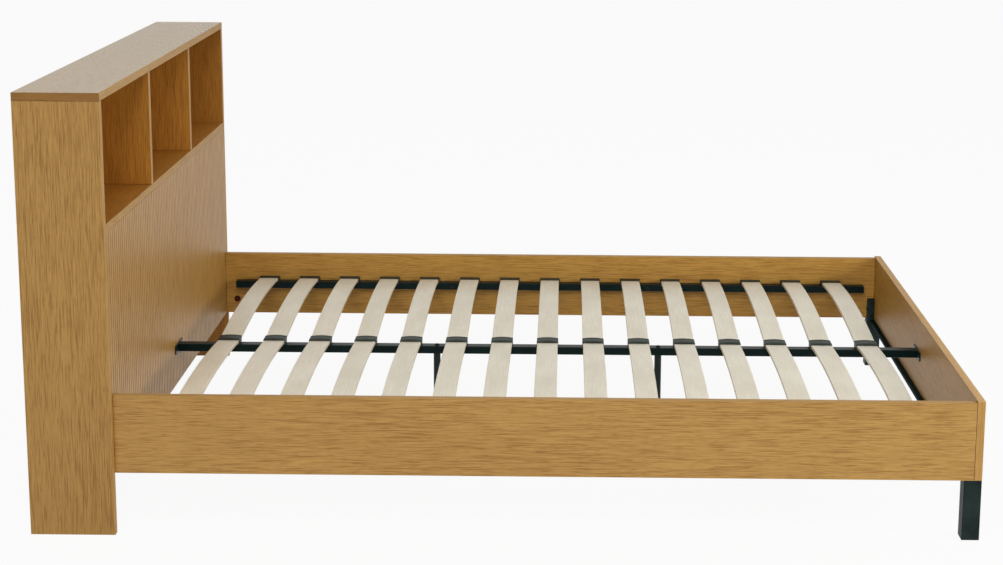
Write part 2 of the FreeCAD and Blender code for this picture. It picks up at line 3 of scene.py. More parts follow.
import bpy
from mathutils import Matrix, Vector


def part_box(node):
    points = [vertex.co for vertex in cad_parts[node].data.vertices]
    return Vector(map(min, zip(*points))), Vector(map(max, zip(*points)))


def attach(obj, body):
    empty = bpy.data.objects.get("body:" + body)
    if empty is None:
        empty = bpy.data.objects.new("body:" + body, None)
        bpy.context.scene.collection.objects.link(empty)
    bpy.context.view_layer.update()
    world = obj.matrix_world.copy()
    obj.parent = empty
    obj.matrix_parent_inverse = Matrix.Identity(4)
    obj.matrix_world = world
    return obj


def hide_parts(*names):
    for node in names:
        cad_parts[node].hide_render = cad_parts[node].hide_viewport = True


bl_info = {
    "name": "Bookcase Headboard Bed",
    "version": (1, 0, 0),
    "blender": (4, 5, 0),
    "location": "3D Viewport > Sidebar > Bed",
    "description": "Dresses the CAD frame of a slatted bed with oak boards, sprung slats, steel and a studio",
    "category": "Object",
}

import contextlib
import math

import bmesh
import bpy
from mathutils import Matrix, Vector

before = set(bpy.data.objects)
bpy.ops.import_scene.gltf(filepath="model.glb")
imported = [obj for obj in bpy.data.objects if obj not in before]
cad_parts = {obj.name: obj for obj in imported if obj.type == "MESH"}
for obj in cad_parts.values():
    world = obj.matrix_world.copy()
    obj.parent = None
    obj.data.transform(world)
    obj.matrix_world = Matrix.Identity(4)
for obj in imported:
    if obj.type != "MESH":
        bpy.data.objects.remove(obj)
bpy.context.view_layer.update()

X, Y, Z = Vector((1, 0, 0)), Vector((0, 1, 0)), Vector((0, 0, 1))

LEVEL = 0.0001  # distance within which two points count as level
TOUCH = 0.00001  # distance within which they count as one

TUBE_MIDDLE = 0.232  # middle height of the bearers and the centre rail
LEG_POST = Vector((1.036, 0.692, 0.140))  # foot of the post on the right front leg
RAIL_NUT = Vector((-0.841, 0.702, 0.182))  # inner end of the right rail's barrel nut

UNTINTED = (1, 1, 1)


# ---- settings ----

def length(name, description, default):
    return bpy.props.FloatProperty(name=name, description=description, default=default, min=0, precision=4,
                                   subtype="DISTANCE", unit="LENGTH")


def colour(name, description, default):
    return bpy.props.FloatVectorProperty(name=name, description=description, default=default, size=3,
                                         min=0, soft_max=1, subtype="COLOR")


def whole(name, description, default):
    return bpy.props.IntProperty(name=name, description=description, default=default, min=1)


def amount(name, description, default, least=0):
    return bpy.props.FloatProperty(name=name, description=description, default=default, min=least)


def cad_span(node, axis):
    """Size of a CAD node along an axis."""
    low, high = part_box(node)
    return (high - low).dot(axis)


class BedSizes(bpy.types.PropertyGroup):
    """Sizes of the details that the CAD frame leaves plain."""
    board_edge: length("Board edge", "Radius along the edges of the boards", 0.0007)
    edge_band: length("Edge band", "Thickness of the strip glued on a board's edge", 0.0012)
    rib_count: whole("Ribs", "Ribs across the fluted panel", 78)
    flute_mouth: length("Flute mouth", "Width of a flute at the surface", 0.004)
    flute_floor: length("Flute floor", "Width of a flute at its bottom", 0.002)
    flute_depth: length("Flute depth", "Depth of a flute", 0.003)
    tube_wall: length("Tube wall", "Wall of the steel tubes", 0.0015)
    tube_corner: length("Tube corner", "Outer corner radius of the steel tubes", 0.0025)
    slat_width: length("Slat width", "Width of a slat", cad_span("slat_left_01", X))
    slat_thickness: length("Slat thickness", "Thickness of a slat", 0.008)
    slat_layers: whole("Slat layers", "Layers of wood glued into a slat", 5)
    slat_chord: length("Slat chord", "Straight distance between the ends of a slat's underside", 0.684)
    slat_crown: length("Slat crown", "Rise of a slat's middle over its ends", 0.017)
    slat_count: whole("Slats", "Slats in each row", 15)
    holder_gap: length("Holder gap", "Play of a slat in its cap or clip", 0.0003)
    thread_pitch: length("Thread pitch", "Pitch of the levelling feet's screws", 0.00125)


class BedColours(bpy.types.PropertyGroup):
    """Colours of the bed's finishes."""
    oak: colour("Oak", "Light ground of the oak laminate", (0.51, 0.290, 0.078))
    oak_shade: colour("Oak shade", "Darker figure of the oak laminate", (0.34, 0.170, 0.036))
    oak_pore: colour("Oak pore", "Pores of the oak laminate", (0.19, 0.075, 0.012))
    # Bay shade: a darker, more saturated tint for the faces inside the bookcase, painted shade of the bays.
    warm: colour("Bay shade", "Tint of the faces inside the bookcase", (1.06, 0.82, 0.40))
    # Sides: darker than the rails of the same laminate, painted shade.
    sides: colour("Sides", "Tint of the headboard's sides", (0.88, 0.87, 0.85))
    top: colour("Top", "Tint of the headboard's top", (0.86, 0.95, 0.95))
    ribs: colour("Ribs", "Tint of the fluted panel's ribs", (1.08, 1.04, 0.86))
    # Grooves: a darker tint in the flutes, painted shade in the recesses.
    grooves: colour("Grooves", "Tint of the fluted panel's grooves", (0.64, 0.58, 0.5))
    # Right rail: a more saturated tint of the same laminate, painted shade on the far rail.
    far_rail: colour("Right rail", "Tint of the right side rail", (1.03, 0.98, 0.72))
    # Footboard: a darker, more saturated tint, painted shade on the footboard's inner face.
    footboard: colour("Footboard", "Tint of the footboard", (0.89, 0.82, 0.57))
    # Painted sheen: a lighter, bluer tint of the footboard's top edge band.
    pale: colour("Pale band", "Tint of the footboard's top edge band", (1.24, 1.32, 1.72))
    stain: colour("Stain", "Tint of the top's stained edge bands", (0.565, 0.475, 0.34))
    # Joint: darkens the rounded edges of boards in a joint, partly the dark board core, partly painted shadow
    # of the gap.
    joint: colour("Joint", "Tint of the board edges in a joint", (0.35, 0.33, 0.28))
    beech: colour("Beech", "Face of the slats", (0.86, 0.80, 0.64))
    beech_fleck: colour("Beech fleck", "Flecks of the slats", (0.69, 0.61, 0.455))
    beech_edge: colour("Beech edge", "Long edges of the slats", (0.82, 0.70, 0.50))
    hardboard: colour("Hardboard", "Rear of the back panel", (0.24, 0.14, 0.07))
    steel: colour("Steel", "Powder coat", (0.0016, 0.0088, 0.0080))
    leg_steel: colour("Leg steel", "Powder coat of the front legs", (0.0130, 0.0215, 0.0205))
    plastic: colour("Plastic", "Caps and clips", (0.018, 0.026, 0.019))
    cover: colour("Cover", "Covers over the barrel nuts", (0.060, 0.010, 0.001))
    zinc: colour("Zinc", "Levelling feet", (0.56, 0.55, 0.52))


class BedStage(bpy.types.PropertyGroup):
    """Studio around the bed."""
    floor: length("Floor", "Side of the square floor", 40.0)
    daylight_before: amount("Daylight before", "Strength of the light from before the bed", 0.28)
    daylight_behind: amount("Daylight behind", "Strength of the light from behind the bed", 0.95)
    key_power: amount("Key lamp", "Power of the lamp in front in watts", 290)
    side_power: amount("Side lamp", "Power of the lamp at the foot in watts", 112)
    camera_place: bpy.props.FloatVectorProperty(
        name="Camera", description="Where the camera stands", default=(0.1244, -4.7639, 1.5753),
        subtype="TRANSLATION", unit="LENGTH")
    camera_turn: bpy.props.FloatVectorProperty(
        name="Camera turn", description="Rotation of the camera", subtype="EULER",
        default=(math.radians(79.139), math.radians(-0.403), math.radians(0.445)))
    lens: amount("Lens", "Focal length in millimetres", 68.11, least=10)
    camera_shift: bpy.props.FloatVectorProperty(
        name="Shift", description="Sideways and upward shift of the lens", default=(-0.05, -0.095), size=2)


def sizes():
    return bpy.context.scene.bed_sizes


def colours():
    return bpy.context.scene.bed_colours


# ---- modelling by hand ----

def deselect_all():
    """The frame's nodes come in selected, and operators act on all that is selected."""
    if bpy.context.mode != "OBJECT":
        bpy.ops.object.mode_set(mode="OBJECT")
    bpy.ops.object.select_all(action="DESELECT")


def make_active(piece):
    deselect_all()
    piece.select_set(True)
    bpy.context.view_layer.objects.active = piece


@contextlib.contextmanager
def editing(piece, kind):
    """Edit mode on one piece, in vertex, edge or face mode, with nothing selected."""
    make_active(piece)
    bpy.ops.object.mode_set(mode="EDIT")
    bpy.ops.mesh.select_mode(type=kind)
    bpy.ops.mesh.select_all(action="DESELECT")
    yield
    bpy.ops.object.mode_set(mode="OBJECT")


def edited_shape():
    return bmesh.from_edit_mesh(bpy.context.edit_object.data)


def pick(kind, test):
    """Select only the edited piece's faces, edges or verts that pass a test."""
    bpy.ops.mesh.select_all(action="DESELECT")
    shape = edited_shape()
    shape.normal_update()
    for part in getattr(shape, kind):
        if test(part):
            part.select_set(True)
    shape.select_flush_mode()
    bmesh.update_edit_mesh(bpy.context.edit_object.data)


def faces_towards(direction):
    """Select the faces that point one way."""
    pick("faces", lambda face: face.normal.dot(direction) > 0.99)


def runs_along(edge, direction):
    run = edge.verts[1].co - edge.verts[0].co
    return abs(run.dot(direction)) > 0.999 * run.length


def selected_points():
    return [vertex.co.copy() for vertex in edited_shape().verts if vertex.select]


def middle_of_selection():
    points = selected_points()
    return sum(points, Vector()) / len(points)


def push(distance):
    """Extrude the selected faces by a vector."""
    bpy.ops.mesh.extrude_region_move(TRANSFORM_OT_translate={"value": distance})


def draw_edges(distance):
    """Extrude the selected edges by a vector."""
    bpy.ops.mesh.extrude_edges_move(TRANSFORM_OT_translate={"value": distance})


def stretch(along_x, along_y, along_z):
    """Scale the selection about its own middle."""
    bpy.ops.transform.resize(value=(along_x, along_y, along_z), center_override=middle_of_selection())


def move(distance):
    bpy.ops.transform.translate(value=distance)


def split_at(point, direction):
    """Cut the whole edited piece by a plane, and keep both sides."""
    bpy.ops.mesh.select_all(action="SELECT")
    bpy.ops.mesh.bisect(plane_co=point, plane_no=direction)


def bevel_selected(radius, segments=2):
    bpy.ops.mesh.bevel(offset=radius, segments=segments, profile=0.5, affect="EDGES")


def bevel_sharp(piece, radius, segments=2, angle=30):
    """Round every edge of a piece that is sharper than an angle in degrees."""
    with editing(piece, "EDGE"):
        bpy.ops.mesh.edges_select_sharp(sharpness=math.radians(angle))
        bevel_selected(radius, segments)


def apply_place(piece):
    """Put a piece's place, turn and size in its mesh."""
    make_active(piece)
    bpy.ops.object.transform_apply(location=True, rotation=True, scale=True)
    return piece


def named(name):
    """Name the primitive that was just added and put its place in its mesh."""
    piece = bpy.context.object
    piece.name = piece.data.name = name
    return apply_place(piece)


def add_block(name, low, high):
    """Block between two corners, to be shaped further."""
    deselect_all()
    bpy.ops.mesh.primitive_cube_add(size=1, location=(low + high) / 2, scale=high - low)
    return named(name)


def add_bar(name, radius, foot, height, corners=32):
    """Upright bar that stands on a point, to be shaped further."""
    deselect_all()
    bpy.ops.mesh.primitive_cylinder_add(vertices=corners, radius=radius, depth=height,
                                        location=foot + Z * height / 2)
    return named(name)


def use_modifier(piece, kind, **settings):
    """Add a modifier and apply it."""
    make_active(piece)
    bpy.ops.object.modifier_add(type=kind)
    modifier = piece.modifiers[-1]
    for name, value in settings.items():
        setattr(modifier, name, value)
    bpy.ops.object.modifier_apply(modifier=modifier.name)


def smooth(piece, angle=35):
    """Smooth the rounded edges and keep the broad faces flat."""
    make_active(piece)
    bpy.ops.object.shade_smooth_by_angle(angle=math.radians(angle))
    use_modifier(piece, "WEIGHTED_NORMAL", keep_sharp=True)
    return piece


def copy_to(model, name, place):
    """Copy a model with its own mesh to a place."""
    make_active(model)
    bpy.ops.object.duplicate(linked=False)
    twin = bpy.context.object
    twin.name = twin.data.name = name
    twin.matrix_world = place
    return apply_place(twin)


def join(name, members):
    """Make one piece of several."""
    make_active(members[0])
    for member in members[1:]:
        member.select_set(True)
    bpy.ops.object.join()
    piece = bpy.context.object
    piece.name = piece.data.name = name
    return piece


def discard(piece):
    bpy.data.objects.remove(piece, do_unlink=True)


def close_seams(piece):
    """Merge doubles and point every face outwards."""
    with editing(piece, "VERT"):
        bpy.ops.mesh.select_all(action="SELECT")
        bpy.ops.mesh.remove_doubles(threshold=TOUCH)
        bpy.ops.mesh.normals_make_consistent(inside=False)


def stand_for(piece, nodes, body="bed"):
    """Let a piece stand for CAD nodes by hiding them, and let it ride on a body."""
    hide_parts(*nodes)
    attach(piece, body)


def paint(piece, finish):
    """Cover a piece with one material."""
    piece.data.materials.clear()
    piece.data.materials.append(finish)


def paint_where(piece, finish, test):
    """Give one more material to the faces of a piece that pass a test."""
    piece.data.materials.append(finish)
    for face in piece.data.polygons:
        if test(face):
            face.material_index = len(piece.data.materials) - 1


# ---- finishes ----

GRAIN_TURN = {"x": (0, 0, 0), "y": (0, 0, -math.pi / 2), "z": (0, math.pi / 2, 0)}
FINE_RELIEF = 0.00003  # depth of the pits in plastic, powder coat and zinc


class Finish:
    """A new material whose shader nodes are added one at a time, its grain along an axis."""

    def __init__(self, name, grain="x"):
        self.material = bpy.data.materials.new(name)
        self.material.use_nodes = True
        self.tree = self.material.node_tree
        self.surface = self.tree.nodes["Principled BSDF"]
        place = self.add("ShaderNodeTexCoord", output="Object")
        self.place = self.add("ShaderNodeMapping", {"Vector": place, "Rotation": GRAIN_TURN[grain]})

    def feed(self, socket, value):
        """Link a socket to another, or give it a value."""
        if isinstance(value, bpy.types.NodeSocket):
            self.tree.links.new(value, socket)
        elif socket.type == "RGBA":
            socket.default_value = (*value, 1)
        else:
            socket.default_value = value

    def add(self, kind, inputs=None, output=0, **settings):
        """Add a node with its settings and inputs, and give one of its outputs."""
        node = self.tree.nodes.new(kind)
        for name, value in settings.items():
            setattr(node, name, value)
        for socket, value in (inputs or {}).items():
            self.feed(node.inputs[socket], value)
        return node.outputs[output]

    def set(self, **inputs):
        """Set or link inputs of the surface."""
        for name, value in inputs.items():
            self.feed(self.surface.inputs[name.replace("_", " ")], value)

    def sway(self, along, across, amount):
        """Bend the grain to and fro by up to an amount in metres, with so many waves per metre."""
        wander = self.add("ShaderNodeVectorMath", {0: self.noise(along, across, output="Color"),
                                                   1: (0.5, 0.5, 0.5)}, operation="SUBTRACT")
        self.place = self.add("ShaderNodeVectorMath", {0: wander, 1: (0, amount, amount), 2: self.place},
                              operation="MULTIPLY_ADD")

    def noise(self, along, across, detail=2.0, roughness=0.5, output=0):
        """Noise with so many waves per metre along the grain and across it."""
        place = self.add("ShaderNodeVectorMath", {0: self.place, 1: (along, across, across)},
                         operation="MULTIPLY")
        return self.add("ShaderNodeTexNoise", {"Vector": place, "Scale": 1.0, "Detail": detail,
                                               "Roughness": roughness}, output)

    def math(self, operation, first, second=0.0):
        return self.add("ShaderNodeMath", {0: first, 1: second}, operation=operation)

    def remap(self, value, low, high, new_low=0.0, new_high=1.0):
        """Stretch a range of values to another and cut off the rest."""
        return self.add("ShaderNodeMapRange", {"Value": value, "From Min": low, "From Max": high,
                                               "To Min": new_low, "To Max": new_high})

    def blend(self, share, first, second):
        """Colour between two colours."""
        return self.add("ShaderNodeMix", {0: share, 6: first, 7: second}, output=2, data_type="RGBA")

    def relief(self, height, depth):
        """Bumps as deep as a distance in metres."""
        self.set(Normal=self.add("ShaderNodeBump", {"Height": height, "Distance": depth, "Strength": 1.0}))


def scaled(tint, share):
    return tuple(share * part for part in tint)


def tinted(tint, other):
    return tuple(part * share for part, share in zip(tint, other))


def oak(grain, figured=1.0, gloss=0.42, tone=UNTINTED, shine=0.36):
    """Oak laminate: dark and light dashes and fine pores along the grain, over a soft cloudy ground.

    A lower gloss is smoother, a higher shine reflects more, and figured is the strength of the figure.
    """
    name = "_".join(["oak", grain, *(str(round(100 * share)) for share in (figured, gloss, *tone, shine))])
    if name in bpy.data.materials:
        return bpy.data.materials[name]
    tints = colours()
    light, shade, pore = (tinted(tint, tone) for tint in (tints.oak, tints.oak_shade, tints.oak_pore))
    rings, ring_share, pore_share = 110, 0.045, 0.45 * figured
    rougher_pores, relief_depth = gloss + 0.14, 0.00008 * figured
    finish = Finish(name, grain)
    finish.sway(along=2.0, across=7, amount=0.008)
    drift = finish.math("MULTIPLY", finish.noise(along=0.9, across=10), rings)
    figure = finish.remap(finish.math("SINE", drift), -1, 1, -ring_share, ring_share)
    streaks = finish.noise(along=14, across=520, detail=1)
    dashes = finish.remap(streaks, 0.51, 0.66, 0, 0.76)
    sheen = finish.remap(streaks, 0.46, 0.32, 0, 0.35)
    pores = finish.remap(finish.noise(along=40, across=760, detail=1), 0.54, 0.72)
    clouds = finish.remap(finish.noise(along=1.6, across=9), 0.3, 0.7, 0.18, 0.36)
    darkness = finish.math("SUBTRACT", finish.math("ADD", dashes, figure), sheen)
    darkness = finish.math("ADD", finish.math("MULTIPLY", darkness, figured), clouds)
    ground = finish.blend(darkness, light, shade)
    finish.set(Base_Color=finish.blend(finish.math("MULTIPLY", pores, pore_share), ground, pore),
               Roughness=finish.remap(pores, 0, 1, gloss, rougher_pores), Specular_IOR_Level=shine)
    sunk = finish.math("ADD", finish.math("MULTIPLY", dashes, -0.5), finish.math("MULTIPLY", pores, -0.5))
    finish.relief(sunk, relief_depth)
    return finish.material


def beech(edge=False):
    """Pale planed beech with faint clouds and short flecks; its long edges show the darker layers."""
    name = "beech_layered_edge" if edge else "beech_face"
    if name in bpy.data.materials:
        return bpy.data.materials[name]
    tints = colours()
    face, fleck = tints.beech, tints.beech_fleck
    if edge:
        face, fleck = tints.beech_edge, scaled(tints.beech_edge, 0.6)
    finish = Finish(name, "y")
    fibres = finish.remap(finish.noise(along=14, across=200, detail=3), 0.35, 0.75, 0, 0.45)
    flecks = finish.remap(finish.noise(along=110, across=700, detail=1), 0.56, 0.74, 0, 0.5)
    clouds = finish.remap(finish.noise(along=7, across=16, detail=3), 0.35, 0.7, 0, 0.55)
    ground = finish.blend(clouds, finish.blend(fibres, face, fleck), fleck)
    finish.set(Base_Color=finish.blend(flecks, ground, scaled(fleck, 0.85)), Roughness=0.40)
    finish.relief(fibres, depth=0.00012)
    return finish.material


def hardboard():
    """Brown pressed fibres."""
    tint = colours().hardboard
    dark = scaled(tint, 0.55)
    finish = Finish("hardboard_rear")
    fibres = finish.noise(420, 420, detail=4, roughness=0.7)
    ground = finish.blend(finish.remap(fibres, 0.35, 0.7), tint, dark)
    clouds = finish.remap(finish.noise(9, 9, detail=3), 0.3, 0.7, 0, 0.3)
    finish.set(Base_Color=finish.blend(clouds, ground, dark), Roughness=0.75)
    finish.relief(fibres, depth=0.0003)
    return finish.material


def speckled(name, tint, lift, waves, rough, shine=0.25):
    """Moulded or sprayed colour whose surface is finely pitted and a little uneven in tone.

    Lift is the factor on the tint in its clouds, and waves is the number of pits per metre.
    """
    if name in bpy.data.materials:
        return bpy.data.materials[name]
    finish = Finish(name)
    pits = finish.noise(waves, waves)
    clouds = finish.remap(finish.noise(18, 18, detail=4), 0.35, 0.75)
    finish.set(Base_Color=finish.blend(clouds, tint, scaled(tint, lift)), Specular_IOR_Level=shine,
               Roughness=finish.remap(pits, 0.3, 0.7, *rough))
    finish.relief(pits, FINE_RELIEF)
    return finish.material


def powder_coat(shine=0.25, rough=(0.34, 0.46), tint=None):
    """Black powder coat, which reflects more with more shine and has its roughness in a range."""
    return speckled(f"black_powder_coat_{round(100 * shine)}", tint or colours().steel, lift=1.8, waves=1300,
                    rough=rough, shine=shine)


def rail_coat():
    """Smoother powder coat of the bearers, the centre rail and its brackets."""
    return powder_coat(shine=0.10, rough=(0.26, 0.36))


def moulded_plastic():
    return speckled("black_moulded_plastic", colours().plastic, lift=1.6, waves=1900, rough=(0.42, 0.58))


def cover_plastic():
    return speckled("brown_cover_plastic", colours().cover, lift=0.7, waves=1900, rough=(0.5, 0.6),
                    shine=0.12)


def zinc():
    """Bright zinc plate with a soft cloudy spangle."""
    if "zinc_plate" in bpy.data.materials:
        return bpy.data.materials["zinc_plate"]
    tint = colours().zinc
    finish = Finish("zinc_plate")
    spangle = finish.noise(260, 260, detail=3)
    finish.set(Base_Color=finish.blend(finish.remap(spangle, 0.35, 0.7), tint, scaled(tint, 0.7)),
               Metallic=1.0, Roughness=finish.remap(spangle, 0.3, 0.7, 0.28, 0.44))
    finish.relief(finish.noise(2400, 2400), FINE_RELIEF)
    return finish.material


# ---- boards ----

SIDES = {"-x": -X, "+x": X, "-y": -Y, "+y": Y, "-z": -Z, "+z": Z}


def plane_under(node, side, depth):
    """Point in the plane at a depth under one side of a CAD node, and that side's direction."""
    low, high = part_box(node)
    outwards = SIDES[side]
    return (low if side[0] == "-" else high) - outwards * depth, outwards


def dress_board(node, grain, banded, recoloured=(), butted=(), figured=1.0, gloss=0.42, tone=UNTINTED,
                shine=0.36, stain=None):
    """Board of a CAD node's size with rounded edges and the grain along an axis.

    Its banded sides have a plain edge band and its recoloured sides a tinted one; the footboard's
    lighter, bluer top edge band is painted sheen. The rounded edges of its butted sides are darkened:
    the dark board core, and painted shadow of the joint's gap.
    """
    low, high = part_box(node)
    piece = add_block(f"{node}_board", low, high)
    seams = [plane_under(node, side, sizes().edge_band) for side in (*banded, *recoloured)]
    band_tones = [UNTINTED] * len(banded) + [stain or colours().stain] * len(recoloured)
    with editing(piece, "FACE"):
        for seam, outwards in seams:
            split_at(seam, outwards)
    bevel_sharp(piece, sizes().board_edge)
    paint(piece, oak(grain, figured, gloss, tone, shine))
    for (seam, outwards), band_tone in zip(seams, band_tones):
        run = [(high - low)[axis] * (1 - abs(outwards[axis])) for axis in range(3)]
        band = oak("xyz"[run.index(max(run))], figured=0.5, gloss=0.54, tone=band_tone)
        paint_where(piece, band, lambda face: (face.center - seam).dot(outwards) > 0)
    # The rounded edges of the butted sides are darkened: the dark board core, and painted shadow of the
    # joint's gap.
    joints = [plane_under(node, side, sizes().board_edge) for side in butted]
    paint_where(piece, oak(grain, tone=colours().joint),
                lambda face: any((face.center - joint).dot(outwards) > 0 and face.normal.dot(outwards) < 0.99
                                 for joint, outwards in joints))
    smooth(piece)
    stand_for(piece, [node])
    return piece


class BED_OT_headboard_boards(bpy.types.Operator):
    """Make the headboard's side panels, dividers, top, shelf, bottom board and back"""
    bl_idname = "bed.headboard_boards"
    bl_label = "Headboard Boards"
    bl_options = {"REGISTER", "UNDO"}

    def execute(self, context):
        for side, inwards in (("left", Y), ("right", -Y)):
            # Painted shade: the side panels are tinted darker than the rails.
            panel = dress_board(f"headboard_side_{side}", "z", ("-x", "+x"), butted=("+z",),
                                tone=colours().sides)
            # Painted shade: the side panels' inner faces and the dividers take the bay shade tint.
            paint_where(panel, oak("z", tone=scaled(colours().warm, 0.86)),
                        lambda face: face.normal.dot(inwards) > 0.99)
            dress_board(f"headboard_divider_{side}", "z", ("+x",), butted=("-z", "+z"), tone=colours().warm)
        dress_board("headboard_top", "y", ("-x", "+x"), recoloured=("-y", "+y"), butted=("-z",), figured=0.5,
                    gloss=0.27, tone=colours().top, shine=0.47)
        # Painted shade: the shelf takes the bay shade tint.
        dress_board("headboard_shelf", "y", ("+x",), butted=("-z",), figured=0.5, tone=colours().warm)
        dress_board("headboard_bottom_board", "y", ("-x",))
        back = add_block("headboard_back_sheet", *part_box("headboard_back_panel"))
        bevel_sharp(back, radius=0.0004)
        # Painted shade: the back's front takes the bay shade tint.
        paint(back, oak("z", tone=colours().warm))
        paint_where(back, hardboard(), lambda face: face.normal.x < 0.5)
        smooth(back)
        stand_for(back, ["headboard_back_panel"])
        return {"FINISHED"}


class BED_OT_fluted_panel(bpy.types.Operator):
    """Make the headboard's front panel as one rib between two half flutes, repeated"""
    bl_idname = "bed.fluted_panel"
    bl_label = "Fluted Panel"
    bl_options = {"REGISTER", "UNDO"}

    def execute(self, context):
        size = sizes()
        low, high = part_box("headboard_fluted_panel")
        pitch = (high.y - low.y) / size.rib_count
        foot_width, face_width = pitch - size.flute_floor, pitch - size.flute_mouth
        flute_floor = high.x - size.flute_depth
        panel = add_block("headboard_fluted_front", low, Vector((flute_floor, low.y + pitch, high.z)))
        with editing(panel, "FACE"):
            pick("faces", lambda face: abs(face.normal.y) > 0.99)
            bpy.ops.mesh.delete(type="ONLY_FACE")
            split_at(low + Y * size.flute_floor / 2, Y)
            split_at(low + Y * (pitch - size.flute_floor / 2), Y)
            pick("faces", lambda face: face.normal.x > 0.99
                 and abs(face.calc_center_median().y - low.y - pitch / 2) < pitch / 4)
            push(X * size.flute_depth)
            stretch(1, face_width / foot_width, 1)
        with editing(panel, "EDGE"):
            pick("edges", lambda edge: runs_along(edge, Z) and edge.verts[0].co.x > high.x - TOUCH)
            bevel_selected(radius=0.0003)
        use_modifier(panel, "ARRAY", count=size.rib_count, use_relative_offset=False,
                     use_constant_offset=True, constant_offset_displace=(0, pitch, 0),
                     use_merge_vertices=True, merge_threshold=0.00005)
        with editing(panel, "EDGE"):
            for side in (low.y, high.y):
                pick("edges", lambda edge: edge.is_boundary
                     and all(abs(vertex.co.y - side) < LEVEL for vertex in edge.verts))
                bpy.ops.mesh.edge_face_add()
        close_seams(panel)
        paint(panel, oak("z", gloss=0.40, tone=colours().ribs, shine=0.44))
        # Painted shade: the flutes' walls and floors take the darker grooves tint.
        paint_where(panel, oak("z", gloss=0.5, tone=colours().grooves),
                    lambda face: face.center.x > flute_floor - TOUCH and face.normal.x < 0.9
                    or abs(face.center.x - flute_floor) < TOUCH)
        smooth(panel, angle=30)
        stand_for(panel, ["headboard_fluted_panel"])
        return {"FINISHED"}


class BED_OT_rails(bpy.types.Operator):
    """Make the side rails and the footboard"""
    bl_idname = "bed.rails"
    bl_label = "Side Rails and Footboard"
    bl_options = {"REGISTER", "UNDO"}

    def execute(self, context):
        dress_board("side_rail_left", "x", ("-z", "+z"), butted=("-x", "+x"))
        # Painted shade: the right rail's tint is more saturated than the left rail's.
        dress_board("side_rail_right", "x", ("-z", "+z"), butted=("-x", "+x"), tone=colours().far_rail)
        # Painted shade: the footboard's darker, more saturated tint.
        # Painted sheen: the footboard's top edge band takes the lighter, bluer tint.
        dress_board("footboard", "y", ("-y", "+y", "-z"), ("+z",), butted=("-x",), figured=0.6,
                    tone=colours().footboard, shine=0.24, stain=colours().pale)
        return {"FINISHED"}


# ---- slats and their holders ----

def model_slat():
    """One sprung slat: a layered section spun along its arc.

    The ends of its underside are level with the origin.
    """
    size, corner = sizes(), 0.0014
    half, crown, thick = size.slat_chord / 2, size.slat_crown, size.slat_thickness
    radius = (half ** 2 + crown ** 2) / (2 * crown)
    centre = Z * (crown - radius)
    slope = math.asin(half / radius)
    deselect_all()
    bpy.ops.mesh.primitive_plane_add(size=1, location=centre + Z * (radius + thick / 2),
                                     rotation=(math.pi / 2, 0, 0))
    bpy.context.object.scale = (size.slat_width, thick, 1)
    slat = named("slat_model")
    with editing(slat, "VERT"):
        bpy.ops.mesh.select_all(action="SELECT")
        bpy.ops.mesh.bevel(offset=corner, segments=3, profile=0.5, affect="VERTICES")
        for layer in range(1, size.slat_layers):
            split_at(centre + Z * (radius + thick * layer / size.slat_layers), Z)
        bpy.ops.mesh.select_all(action="SELECT")
        bpy.ops.transform.rotate(value=slope, orient_axis="X", center_override=centre)
    with editing(slat, "FACE"):
        bpy.ops.mesh.select_all(action="SELECT")
        start = middle_of_selection().y
        bpy.ops.mesh.spin(steps=24, angle=math.copysign(2 * slope, -start), center=centre, axis=X)
    close_seams(slat)
    paint(slat, beech())
    paint_where(slat, beech(edge=True), lambda face: abs(face.normal.x) > 0.7)
    return smooth(slat)


def slat_middles():
    """Middle of each slat of the right row, from head to foot, at the height of its underside's ends."""
    for number in range(1, sizes().slat_count + 1):
        low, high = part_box(f"slat_right_{number:02d}")
        yield Vector(((low.x + high.x) / 2, (low.y + high.y) / 2, low.z))


class BED_OT_slats(bpy.types.Operator):
    """Make one sprung slat and copy it along both rows"""
    bl_idname = "bed.slats"
    bl_label = "Slats"
    bl_options = {"REGISTER", "UNDO"}

    def execute(self, context):
        model = model_slat()
        for number, middle in enumerate(slat_middles(), 1):
            for side, sign in (("left", -1), ("right", 1)):
                place = Matrix.Translation((middle.x, sign * middle.y, middle.z))
                slat = copy_to(model, f"slat_{side}_{number:02d}_sprung", place)
                stand_for(slat, [f"slat_{side}_{number:02d}"])
        discard(model)
        return {"FINISHED"}


def open_mouth(outwards, floor, run):
    """Sink a slat's mouth, its floor at a height, into the face that points one way."""
    size = sizes()
    width, height = size.slat_width + 2 * size.holder_gap, size.slat_thickness + 2 * size.holder_gap
    faces_towards(outwards)
    corners = selected_points()
    low, high = min(corner.z for corner in corners), max(corner.z for corner in corners)
    wide = 2 * max(corner.x for corner in corners)
    push(Vector())
    stretch(width / wide, 1, height / (high - low))
    move(Z * (floor + height / 2 - (low + high) / 2))
    push(run)


def add_rib(start, end, top, rise):
    """Raise the strip of a holder's top between two places along Y."""
    split_at(Y * start, Y)
    split_at(Y * end, Y)
    pick("faces", lambda face: face.normal.z > 0.9 and face.calc_center_median().z > top
         and start < face.calc_center_median().y < end)
    push(Z * rise)


def add_peg(holder, place, radius=0.003, depth=0.005):
    """Join to a holder the peg under it that enters the tube."""
    overlap = 0.001
    peg = add_bar("peg", radius, place - Z * depth, depth + overlap, corners=16)
    with editing(peg, "EDGE"):
        pick("edges", lambda edge: all(vertex.co.z < place.z - depth + LEVEL for vertex in edge.verts))
        bevel_selected(radius=0.0008)
    return join(holder.name, [holder, peg])


